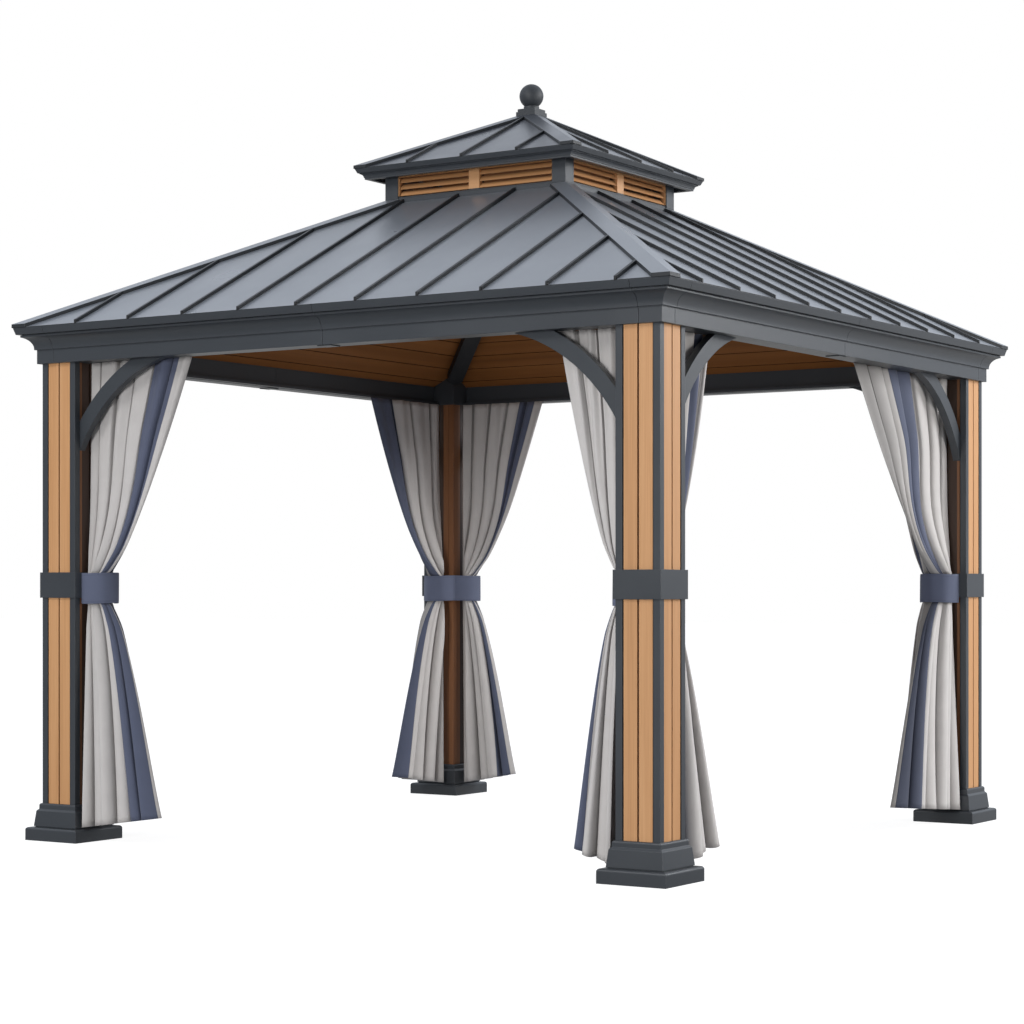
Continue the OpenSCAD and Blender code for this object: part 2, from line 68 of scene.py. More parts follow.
def smooth_step(low: float, high: float, value: Array) -> Array:
    """Rise smoothly from 0 at low to 1 at high.

    Args:
        low: Value at which the rise starts.
        high: Value at which the rise ends.
        value: Values to place on the rise.

    Returns:
        3t^2 - 2t^3 of the clamped share t of the way from low to high.
    """
    share = np.clip((value - low) / (high - low), 0.0, 1.0)
    return share * share * (3 - 2 * share)


def blend_between(first: Any, second: Any, share: Any) -> Any:
    """Go in a straight line from first, at share 0, to second, at share 1."""
    return first + (second - first) * share


def node_points(node: str) -> Array:
    """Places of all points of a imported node."""
    mesh = frame["nodes"][node].data
    points = np.empty(len(mesh.vertices) * 3, dtype=np.float32)
    mesh.vertices.foreach_get("co", points)
    return points.reshape(-1, 3).astype(np.float64)


class Wire:
    """One output socket of a shader graph; arithmetic on wires adds Math nodes."""

    def __init__(self, graph: "Graph", socket: bpy.types.NodeSocket) -> None:
        """Keep the socket and the graph that it belongs to."""
        self.graph = graph
        self.socket = socket

    def __add__(self, other: "Value") -> "Wire":
        """Sum of the two values."""
        return self.graph.math("ADD", self, other)

    def __sub__(self, other: "Value") -> "Wire":
        """Difference of the two values."""
        return self.graph.math("SUBTRACT", self, other)

    def __rsub__(self, other: "Value") -> "Wire":
        """Difference of the two values, the other way round."""
        return self.graph.math("SUBTRACT", other, self)

    def __mul__(self, other: "Value") -> "Wire":
        """Product of the two values."""
        return self.graph.math("MULTIPLY", self, other)

    def __gt__(self, other: "Value") -> "Wire":
        """One where this value is the larger, else zero."""
        return self.graph.math("GREATER_THAN", self, other)

    def __abs__(self) -> "Wire":
        """The value without its sign."""
        return self.graph.math("ABSOLUTE", self)

    __radd__ = __add__
    __rmul__ = __mul__


Value = Union[float, Wire]


class Graph:
    """Node tree of one finish, with short ways to add the nodes that the finishes share."""

    def __init__(self, tree: bpy.types.NodeTree) -> None:
        """Start from an empty tree."""
        tree.nodes.clear()
        self.tree = tree

    def node(
        self,
        kind: str,
        settings: Optional[dict[str, Any]] = None,
        inputs: Optional[dict[Union[str, int], Any]] = None,
        output: Union[str, int] = 0,
    ) -> Wire:
        """Add a node, set it up and feed its sockets.

        Args:
            kind: Blender's name of the node's type.
            settings: Properties that are set first; stops holds a ramp's places and colours.
            inputs: Values or wires by socket name or number.
            output: The socket that is handed back.

        Returns:
            The chosen output.
        """
        made = self.tree.nodes.new(kind)
        for name, value in (settings or {}).items():
            if name == "stops":
                self._set_stops(made.color_ramp, value)
            else:
                setattr(made, name, value)
        for key, value in (inputs or {}).items():
            if isinstance(value, Wire):
                self.tree.links.new(value.socket, made.inputs[key])
            else:
                made.inputs[key].default_value = value
        return Wire(self, made.outputs[output] if made.outputs else None)

    @staticmethod
    def _set_stops(ramp: bpy.types.ColorRamp, stops: list[tuple[float, Colour]]) -> None:
        """Give a colour ramp its stops, in rising order."""
        while len(ramp.elements) < len(stops):
            ramp.elements.new(1.0)
        for element, (place, colour) in zip(ramp.elements, stops):
            element.position = place
            element.color = (*colour, 1.0)

    def math(self, operation: str, *values: Value) -> Wire:
        """Add a Math node on one or two values."""
        return self.node("ShaderNodeMath", {"operation": operation}, dict(enumerate(values)))

    def object_place(self) -> Wire:
        """Place on the piece in the part's own frame."""
        return self.node("ShaderNodeTexCoord", output="Object")

    def stretch(self, place: Wire, scale: Colour) -> Wire:
        """Scale a place by axis."""
        return self.node("ShaderNodeMapping", None, {"Vector": place, "Scale": scale})

    def noise(self, place: Wire, scale: float, detail: float = 2.0, roughness: float = 0.5) -> Wire:
        """Soft noise from 0 to 1 at a scale in cells a metre."""
        inputs = {"Vector": place, "Scale": scale, "Detail": detail, "Roughness": roughness}
        return self.node("ShaderNodeTexNoise", None, inputs)

    def ramp(self, value: Wire, stops: list[tuple[float, Colour]]) -> Wire:
        """Turn a value into a colour."""
        return self.node("ShaderNodeValToRGB", {"stops": stops}, {"Fac": value})

    def mix(self, factor: Value, first: Any, second: Any, kind: str = "MIX") -> Wire:
        """Mix two colours; plain colours are given as three numbers."""
        pair = [value if isinstance(value, Wire) else (*value, 1.0) for value in (first, second)]
        settings = {"data_type": "RGBA", "blend_type": kind}
        return self.node("ShaderNodeMix", settings, {0: factor, 6: pair[0], 7: pair[1]}, output=2)

    def step(self, value: Wire, low: float, high: float, start: float = 0.0, end: float = 1.0) -> Wire:
        """Rise smoothly from start to end as a value goes from low to high."""
        inputs = {"Value": value, "From Min": low, "From Max": high, "To Min": start, "To Max": end}
        return self.node("ShaderNodeMapRange", {"interpolation_type": "SMOOTHSTEP"}, inputs)

    def bump(self, height: Wire, distance: float, strength: float, normal: Optional[Wire] = None) -> Wire:
        """Relief of a height, on top of a normal if one is given."""
        inputs = {"Height": height, "Distance": distance, "Strength": strength}
        return self.node("ShaderNodeBump", None, {**inputs, **({"Normal": normal} if normal else {})})

    def split(self, vector: Wire) -> tuple[Wire, Wire, Wire]:
        """The three parts of a vector."""
        made = self.node("ShaderNodeSeparateXYZ", None, {"Vector": vector})
        outputs = made.socket.node.outputs
        return Wire(self, outputs[0]), Wire(self, outputs[1]), Wire(self, outputs[2])

    def dot(self, first: Wire, second: Any) -> Wire:
        """Dot product of two vectors."""
        settings = {"operation": "DOT_PRODUCT"}
        return self.node("ShaderNodeVectorMath", settings, {0: first, 1: second}, output="Value")

    def join(self, x: Value, y: Value, z: Value) -> Wire:
        """A vector of three values."""
        return self.node("ShaderNodeCombineXYZ", None, {0: x, 1: y, 2: z})


class Finish:
    """A surface finish; each kind says what feeds its Principled shader."""

    name: str

    def inputs(self, graph: Graph) -> dict[str, Any]:
        """Values and wires of the shader's sockets."""
        raise NotImplementedError

    def shader(self, graph: Graph) -> Wire:
        """One Principled shader, unless a finish mixes more."""
        return graph.node("ShaderNodeBsdfPrincipled", None, self.inputs(graph))

    def material(self) -> bpy.types.Material:
        """Make the material of this finish.

        Returns:
            A material with the finish's shader.
        """
        made = bpy.data.materials.new(self.name)
        made.use_nodes = True
        graph = Graph(made.node_tree)
        graph.node("ShaderNodeOutputMaterial", None, {"Surface": self.shader(graph)})
        return made


def plan_reach(graph: Graph) -> Wire:
    """Distance of a place from the middle of the plan, as the larger of |x| and |y|."""
    x, y, _ = graph.split(graph.object_place())
    return graph.math("MAXIMUM", abs(x), abs(y))


@dataclass(frozen=True)
class Slope:
    """Plane z cos p + max(|x|, |y|) sin p = lift, which the four sides of a roof share."""

    pitch: float
    lift: float

    @classmethod
    def of(cls, node: str, pitch: float, level: int) -> "Slope":
        """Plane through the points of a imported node.

        Args:
            node: Node with four slopes, or one of them.
            pitch: Angle of its slopes.
            level: Which of its planes, counted up from the lowest.

        Returns:
            The slope of the whole plan.
        """
        points = node_points(node)
        reach = np.abs(points[:, :2]).max(axis=1)
        lifts = np.unique(np.round(points[:, 2] * math.cos(pitch) + reach * math.sin(pitch), 4))
        return cls(pitch, float(lifts[level]))

    def above(self, graph: Graph) -> Wire:
        """Height of a place over the plane, at right angles to it."""
        height = graph.split(graph.object_place())[2]
        return height * math.cos(self.pitch) + plan_reach(graph) * math.sin(self.pitch) - self.lift


@dataclass(frozen=True)
class Paint(Finish):
    """Satin powder coat on metal: fine texture, faint mottling and pale edges, partly wear and partly
    painted highlight.
    """

    name: str
    colour: Colour
    roughness: float = 0.38
    edge_radius: float = 2.5 * MILLIMETRE
    edge_lift: float = 0.35
    mottle: float = 0.06
    ripple: float = 0.0
    ior: float = 1.5
    gloss: float = 0.5
    # Painted light: the paler colour that the sheet takes away from the middle of the plan, darker near it.
    painted_eave_light: Optional[Colour] = None
    painted_light_from: float = 0.45
    painted_light_to: float = 1.65

    def ground(self, graph: Graph, cloudy: Wire) -> Wire:
        """Mottled colour, which a painted light pales with the reach from the middle of the plan if it is
        set to.
        """
        deep = tuple(part * (1 - self.mottle) for part in self.colour)
        pale = tuple(part * (1 + self.mottle) for part in self.colour)
        mottled = graph.mix(cloudy, deep, pale)
        if self.painted_eave_light is None:
            return mottled
        # Painted light, growing with the reach from the middle of the plan.
        reach = graph.step(plan_reach(graph) + cloudy * 0.2, self.painted_light_from, self.painted_light_to)
        return graph.mix(reach, mottled, self.painted_eave_light)

    def inputs(self, graph: Graph) -> dict[str, Any]:
        """Mottled colour, paler where the rounded normal leaves the flat one (partly wear, partly painted
        highlight), over a fine bump.
        """
        place = graph.object_place()
        rounded = graph.node("ShaderNodeBevel", {"samples": 6}, {"Radius": self.edge_radius})
        flat = graph.node("ShaderNodeNewGeometry", output="Normal")
        edge = graph.step(1 - graph.dot(rounded, flat), 0.01, 0.25) * self.edge_lift
        cloudy = graph.noise(place, 2.6, 4.0)
        powder = graph.noise(place, 700.0, 1.0)
        # Paler colour on the rounded edges: partly wear, partly painted highlight.
        worn_and_highlit = tuple(part * 1.9 + 0.02 for part in self.colour)
        tone = graph.mix(edge, self.ground(graph, cloudy), worn_and_highlit)
        relief = powder * 0.0004
        if self.ripple:
            relief = relief + graph.noise(place, 1.7, 1.0) * self.ripple
        return {
            "Base Color": tone,
            "Roughness": graph.step(cloudy, 0.2, 0.8, self.roughness - 0.04, self.roughness + 0.05),
            "IOR": self.ior,
            "Specular IOR Level": self.gloss,
            "Normal": graph.bump(relief, 1.0, 0.25, rounded),
        }


@dataclass(frozen=True)
class SeamedSheet(Finish):
    """Broad sheet in one paint; its seams take a darker paint, partly painted shade, and its steep faces
    painted shade.
    """

    name: str
    broad: Paint
    raised_and_shaded: Paint
    slope: Optional[Slope] = None
    flat_rise: float = 0.8

    def shader(self, graph: Graph) -> Wire:
        """The two paints, mixed by the height over the slope and, as painted shade, by how steep a face is.
        """
        normal = graph.node("ShaderNodeNewGeometry", output="Normal")
        rise = graph.split(normal)[2]
        # Painted shade: faces steeper than the flat sheet take the dark paint.
        seam_and_shade_mask = graph.step(rise, self.flat_rise - 0.05, self.flat_rise, 1.0, 0.0)
        if self.slope is not None:
            over = graph.step(self.slope.above(graph), 0.5 * MILLIMETRE, 1.5 * MILLIMETRE)
            seam_and_shade_mask = graph.math("MAXIMUM", seam_and_shade_mask, over)
        parts = {0: seam_and_shade_mask, 1: self.broad.shader(graph), 2: self.raised_and_shaded.shader(graph)}
        return graph.node("ShaderNodeMixShader", None, parts)


class Grain(Enum):
    """Way that the boards' grain runs."""

    UPRIGHT = "up the posts"
    ROUND_PLAN = "along each side of the plan"


@dataclass(frozen=True)
class Timber(Finish):
    """Stained boards with fine fibres, broad tone bands and a low satin coat."""

    name: str
    dark: Colour
    middle: Colour
    light: Colour
    grain: Grain
    roughness: float = 0.5
    gloss: float = 0.5
    edge_radius: float = 1.5 * MILLIMETRE

    def along_grain(self, graph: Graph) -> Wire:
        """Place with its third part along the grain.

        On the plan's sides the grain runs along x at the front and back and along y at the others,
        and the distance from the centre line is the larger of |x| and |y|.
        """
        place = graph.object_place()
        if self.grain is Grain.UPRIGHT:
            return place
        x, y, z = graph.split(place)
        beside = abs(x) > abs(y)
        along = x + (y - x) * beside
        away = graph.math("MAXIMUM", abs(x), abs(y))
        return graph.join(away, z, along)

    def shaded(self, graph: Graph, colour: Wire) -> Wire:
        """Colour with the darker places of this kind of board; here there are none."""
        return colour

    def inputs(self, graph: Graph) -> dict[str, Any]:
        """Fibres and bands of stretched noise give the colour, the roughness and the relief."""
        place = self.along_grain(graph)
        bands = graph.noise(graph.stretch(place, (1.0, 1.0, 0.03)), 17.0, 3.0)
        fibres = graph.noise(graph.stretch(place, (1.0, 1.0, 0.012)), 210.0, 3.0, 0.6)
        pores = graph.noise(graph.stretch(place, (1.0, 1.0, 0.02)), 640.0, 1.0)
        board = graph.noise(graph.stretch(place, (1.0, 1.0, 0.0)), 9.0, 0.0)
        tone = bands * 0.42 + fibres * 0.38 + board * 0.2
        stops = [(0.28, self.dark), (0.5, self.middle), (0.72, self.light)]
        rounded = graph.node("ShaderNodeBevel", {"samples": 4}, {"Radius": self.edge_radius})
        relief = fibres * 0.0005 + pores * 0.0003
        return {
            "Base Color": self.shaded(graph, graph.ramp(tone, stops)),
            "Roughness": graph.step(fibres, 0.2, 0.8, self.roughness - 0.06, self.roughness + 0.1),
            "Specular IOR Level": self.gloss,
            "Normal": graph.bump(relief, 1.0, 0.35, rounded),
        }


@dataclass(frozen=True)
class PostTimber(Timber):
    """Post boards with painted shade on the faces towards the openings, and a black strip down their middle.
    """

    face_depth: float = 10.5 * MILLIMETRE
    strip_middle: float = 10 * MILLIMETRE
    strip_half: float = 40 * MILLIMETRE
    # Painted shade of the faces towards the openings.
    inner_painted_shade: Colour = (0.42, 0.33, 0.28)
    strip_tint: Colour = (0.2, 0.22, 0.3)

    def shaded(self, graph: Graph, colour: Wire) -> Wire:
        """Painted shade where the smaller of |x| and |y| is an inner face's, and the strip by the larger."""
        low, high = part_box("front_right_post")
        face = low.x + self.face_depth
        x, y, _ = graph.split(graph.object_place())
        near = graph.math("MINIMUM", abs(x), abs(y))
        inner = graph.step(near, face - MILLIMETRE, face + MILLIMETRE, 1.0, 0.0)
        offset = abs(plan_reach(graph) - ((low.x + high.x) / 2 + self.strip_middle))
        strip = graph.step(offset, self.strip_half - MILLIMETRE, self.strip_half + MILLIMETRE, 1.0, 0.0)
        # Painted shade on the faces towards the openings.
        inner_shaded = graph.mix(inner, colour, self.inner_painted_shade, "MULTIPLY")
        return graph.mix(inner * strip, inner_shaded, self.strip_tint, "MULTIPLY")


@dataclass(frozen=True)
class LouvreTimber(Timber):
    """Louvres with painted shade from the blades' outer edge to the gap behind, over a dark sill."""

    gap_inset: float = 31 * MILLIMETRE
    edge_inset: float = 7 * MILLIMETRE
    # Painted shade of the gaps between the blades.
    painted_gap_shade: Colour = (0.1, 0.08, 0.07)
    sill_depth: float = 13 * MILLIMETRE
    sill_colour: Colour = (0.03, 0.034, 0.04)

    def shaded(self, graph: Graph, colour: Wire) -> Wire:
        """Painted shade by the reach from the middle of the plan, and the sill by the height."""
        low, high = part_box("right_louvre")
        deep = graph.step(plan_reach(graph), high.x - self.gap_inset, high.x - self.edge_inset, 1.0, 0.0)
        sill_top = low.z + self.sill_depth
        height = graph.split(graph.object_place())[2]
        sill = graph.step(height, sill_top - MILLIMETRE, sill_top + MILLIMETRE, 1.0, 0.0)
        return graph.mix(sill, graph.mix(deep, colour, self.painted_gap_shade, "MULTIPLY"), self.sill_colour)


@dataclass(frozen=True)
class LiningTimber(Timber):
    """Ceiling boards with painted shade in the grooves between them."""

    slope: Slope = Slope.of("ceiling", MAIN_PITCH, 0)
    # Painted shade in the grooves.
    painted_groove_shade: Colour = (0.15, 0.14, 0.14)

    def shaded(self, graph: Graph, colour: Wire) -> Wire:
        """Painted shade by the depth of the groove over the boards' lower face."""
        groove = graph.step(self.slope.above(graph), 0.6 * MILLIMETRE, 2.5 * MILLIMETRE)
        return graph.mix(groove, colour, self.painted_groove_shade, "MULTIPLY")


STRIPE = "stripe"
SHADE_MARK = "cloth_shade"
CLOTH_MAP = "cloth"


@dataclass(frozen=True)
class Weave(Finish):
    """Plain-woven cloth on its own map in metres, with a stripe, seams and painted shade in the folds where
    marked.
    """

    name: str
    ground: Colour
    stripe: Colour
    roughness: float = 0.85
    thread: float = 2.4 * MILLIMETRE
    sheen: float = 0.12

    def inputs(self, graph: Graph) -> dict[str, Any]:
        """Threads crossing at right angles, slubs along them, and the stripe inside its marked edges."""
        flat = graph.node("ShaderNodeUVMap", {"uv_map": CLOTH_MAP})
        across, down, _ = graph.split(flat)
        waves = [
            graph.math("SINE", value * (TURN / self.thread)) * 0.5 + 0.5 for value in (across, down)
        ]
        check = graph.math("MULTIPLY", *waves)
        slubs = graph.noise(graph.stretch(flat, (1.0, 0.06, 1.0)), 420.0, 2.0)
        cloudy = graph.noise(flat, 9.0, 3.0)
        mark = graph.node("ShaderNodeAttribute", {"attribute_name": STRIPE}, output="Fac")
        inside = graph.step(mark, -0.6 * MILLIMETRE, 0.6 * MILLIMETRE)
        seam = graph.step(abs(mark), 0.5 * MILLIMETRE, 3.0 * MILLIMETRE, 1.0, 0.0)
        base = graph.mix(inside, self.ground, self.stripe)
        # Painted shade of the cloth's folds, heading and free end, times the weave's own tone.
        cloth_shade = graph.node("ShaderNodeAttribute", {"attribute_name": SHADE_MARK}, output="Fac")
        shade = cloth_shade * (0.86 + cloudy * 0.16 + slubs * 0.1 - seam * 0.18)
        tone = graph.mix(1.0, base, graph.join(shade, shade, shade), "MULTIPLY")
        relief = check * 0.0003 + slubs * 0.0004 - seam * 0.0012
        return {
            "Base Color": tone,
            "Roughness": self.roughness,
            "Sheen Weight": self.sheen,
            "Normal": graph.bump(relief, 1.0, 0.5),
        }


PAINT = Paint("charcoal_paint", (0.042, 0.048, 0.056))
MATT_PAINT = Paint("matt_paint", (0.034, 0.039, 0.046), roughness=0.55)
# Hip rafters: the frame's paint darkened as painted shade.
RAFTER_SHADE_PAINT = Paint("rafter_painted_shade", (0.02, 0.022, 0.025), roughness=0.5, gloss=0.2)
# Near-black paint of the blocks on the seam ends: painted shade.
SEAM_END_SHADE = Paint("seam_end_shade_paint", (0.01, 0.011, 0.013), roughness=0.6, edge_lift=0.0)
# Dark paint of the seams, partly painted shade; on steep faces it is painted shade.
SEAM_AND_SHADE = Paint("seam", (0.024, 0.027, 0.031), roughness=0.45, gloss=0.35)
# Main roof's pans, with painted light that pales them towards the eaves.
PAN = Paint(
    "pan",
    (0.149, 0.16, 0.181),
    roughness=0.3,
    ripple=0.004,
    ior=1.65,
    painted_eave_light=(0.176, 0.193, 0.222),
)
# Upper roof's pans: the same sheet as the main roof's, made darker as painted shade.
UPPER_SHADED_PAN = Paint("upper_pan_painted_shade", (0.05, 0.056, 0.07), roughness=0.3, ripple=0.004, ior=1.65)
MAIN_SLOPE = Slope.of("front_roof", MAIN_PITCH, 1)
UPPER_SLOPE = Slope.of("upper_roof", UPPER_PITCH, 1)
SHEET = SeamedSheet("roof_sheet", PAN, SEAM_AND_SHADE, MAIN_SLOPE)
UPPER_SHEET = SeamedSheet("upper_sheet", UPPER_SHADED_PAN, SEAM_AND_SHADE, UPPER_SLOPE)
# Hip caps: their steep step faces take the dark paint as painted shade.
CAPS = SeamedSheet("hip_caps", PAN, SEAM_AND_SHADE)
UPPER_CAPS = SeamedSheet("upper_caps", UPPER_SHADED_PAN, SEAM_AND_SHADE)
BOARDS = PostTimber(
    "tan_boards", (0.43, 0.205, 0.08), (0.56, 0.288, 0.122), (0.66, 0.365, 0.172), Grain.UPRIGHT
)
LINING_TONES = ((0.15, 0.053, 0.013), (0.22, 0.083, 0.022), (0.29, 0.115, 0.034))
LINING = Timber("ceiling_boards", *LINING_TONES, Grain.ROUND_PLAN, 0.65, 0.12)
GROOVED_LINING = LiningTimber("grooved_lining", *LINING_TONES, Grain.ROUND_PLAN, 0.65, 0.12)
SLATS = LouvreTimber(
    "louvre_boards", (0.42, 0.2, 0.08), (0.54, 0.275, 0.117), (0.62, 0.34, 0.16), Grain.ROUND_PLAN
)
CURTAIN_CLOTH = Weave("curtain_cloth", (0.57, 0.545, 0.53), (0.09, 0.105, 0.165))
TIE_CLOTH = Weave("tie_cloth", (0.105, 0.122, 0.188), (0.105, 0.122, 0.188), thread=1.8 * MILLIMETRE)

SLOT_FINISHES = {
    "frame_paint": PAINT,
    "roof_sheet": SHEET,
    "post_boards": BOARDS,
    "ceiling_boards": LINING,
    "louvre_timber": SLATS,
    "curtain_cloth": CURTAIN_CLOTH,
    "tie_cloth": TIE_CLOTH,
}
NODE_FINISHES = {
    "hip_caps": CAPS,
    "upper_hip_caps": UPPER_CAPS,
    "upper_roof": UPPER_SHEET,
    "ceiling": GROOVED_LINING,
    "hip_rafters": RAFTER_SHADE_PAINT,
    "finial": MATT_PAINT,
}


class FinishStore:
    """Materials that have been made, so that each finish is made once."""

    def __init__(self) -> None:
        """Start with none."""
        self._made: dict[str, bpy.types.Material] = {}

    def get(self, finish: Finish) -> bpy.types.Material:
        """The material of a finish, made on first use."""
        if finish.name not in self._made:
            self._made[finish.name] = finish.material()
        return self._made[finish.name]


def grid_faces(rows: int, columns: int, closed: bool = False) -> NDArray[np.int64]:
    """Quads of a grid of points stored row by row.

    Args:
        rows: Number of rows.
        columns: Number of columns.
        closed: Whether the last column joins the first.

    Returns:
        Four point numbers for each quad, as r*columns + c for neighbouring r and c.
    """
    row = np.arange(rows - 1)[:, None] * columns
    column = np.arange(columns if closed else columns - 1)[None, :]
    following = (column + 1) % columns
    corners = [row + column, row + following, row + columns + following, row + columns + column]
    return np.stack(np.broadcast_arrays(*corners), axis=-1).reshape(-1, 4)


def make_piece(
    name: str, points: Array, faces: Any, finish: bpy.types.Material, smooth: bool = True
) -> bpy.types.Object:
    """Put points and faces into an object at the origin.

    Args:
        name: Name of the piece.
        points: Places in the part's frame, one row each.
        faces: Point numbers of each face.
        finish: Material of the whole piece.
        smooth: Whether its faces are shaded smoothly.

    Returns:
        The new object, linked to the scene.
    """
    mesh = bpy.data.meshes.new(name)
    mesh.from_pydata(points.reshape(-1, 3).tolist(), [], [list(map(int, face)) for face in faces])
    mesh.polygons.foreach_set("use_smooth", np.full(len(mesh.polygons), smooth))
    mesh.materials.append(finish)
    mesh.update()
    piece = bpy.data.objects.new(name, mesh)
    bpy.context.scene.collection.objects.link(piece)
    return piece


def set_cloth_map(mesh: bpy.types.Mesh, flat: Array, stripe: Array, cloth_shade: Array) -> None:
    """Store a cloth's flat places, stripe marks and painted shade.

    Args:
        mesh: Mesh of the cloth.
        flat: Two flat coordinates of each point, in metres.
        stripe: Distance of each point inside the stripe's nearer edge, in metres.
        cloth_shade: Share of the cloth's palest tone at each point.
    """
    corner_points = np.empty(len(mesh.loops), dtype=np.int32)
    mesh.loops.foreach_get("vertex_index", corner_points)
    layer = mesh.uv_layers.new(name=CLOTH_MAP)
    layer.data.foreach_set("uv", flat.reshape(-1, 2)[corner_points].ravel().astype(np.float32))
    for name, values in ((STRIPE, stripe), (SHADE_MARK, cloth_shade)):
        marks = mesh.attributes.new(name, "FLOAT", "POINT")
        marks.data.foreach_set("value", values.ravel().astype(np.float32))


@dataclass(frozen=True)
class Corner:
    """One post's corner of the plan; u runs along the front or back side and v into the room."""

    back: bool
    right: bool

    @property
    def name(self) -> str:
        """Name that the post's nodes start with."""
        return f"{'back' if self.back else 'front'}_{'right' if self.right else 'left'}"

    @cached_property
    def centre(self) -> Array:
        """Centre of the post in plan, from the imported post."""
        low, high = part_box(f"{self.name}_post")
        return np.array([(low.x + high.x) / 2, (low.y + high.y) / 2])

    @property
    def inward(self) -> Array:
        """Signs of x and y that point into the room."""
        return np.array([-1.0 if self.right else 1.0, -1.0 if self.back else 1.0])

    def to_part(self, along: Array, across: Array, height: Array, swapped: bool) -> Array:
        """Places in the part's frame of points given along a side, into the room and up.

        Args:
            along: Distance from the post centre along the piece's side.
            across: Distance from the post centre into the room.
            height: Height above the ground.
            swapped: Whether the piece's side is the left or right one.

        Returns:
            An array of x, y and z.
        """
        local = (across, along) if swapped else (along, across)
        x, y = (self.centre[i] + self.inward[i] * local[i] for i in range(2))
        return np.stack(np.broadcast_arrays(x, y, height), axis=-1)

    def to_local(self, points: Array, swapped: bool) -> Array:
        """Distances along the side and into the room, and heights, of places in the part's frame."""
        plan = (points[..., :2] - self.centre) * self.inward
        plan = plan[..., ::-1] if swapped else plan
        return np.concatenate([plan, points[..., 2:]], axis=-1)


@dataclass(frozen=True)
class Section:
    """Space that a curtain's solid holds at one level, along its side and into the room."""

    start: float
    end: float
    middle: float
    half: float

    @classmethod
    def of(cls, points: Array) -> "Section":
        """Bounds of local points."""
        low, high = points.min(axis=0), points.max(axis=0)
        return cls(low[0], high[0], (low[1] + high[1]) / 2, (high[1] - low[1]) / 2)


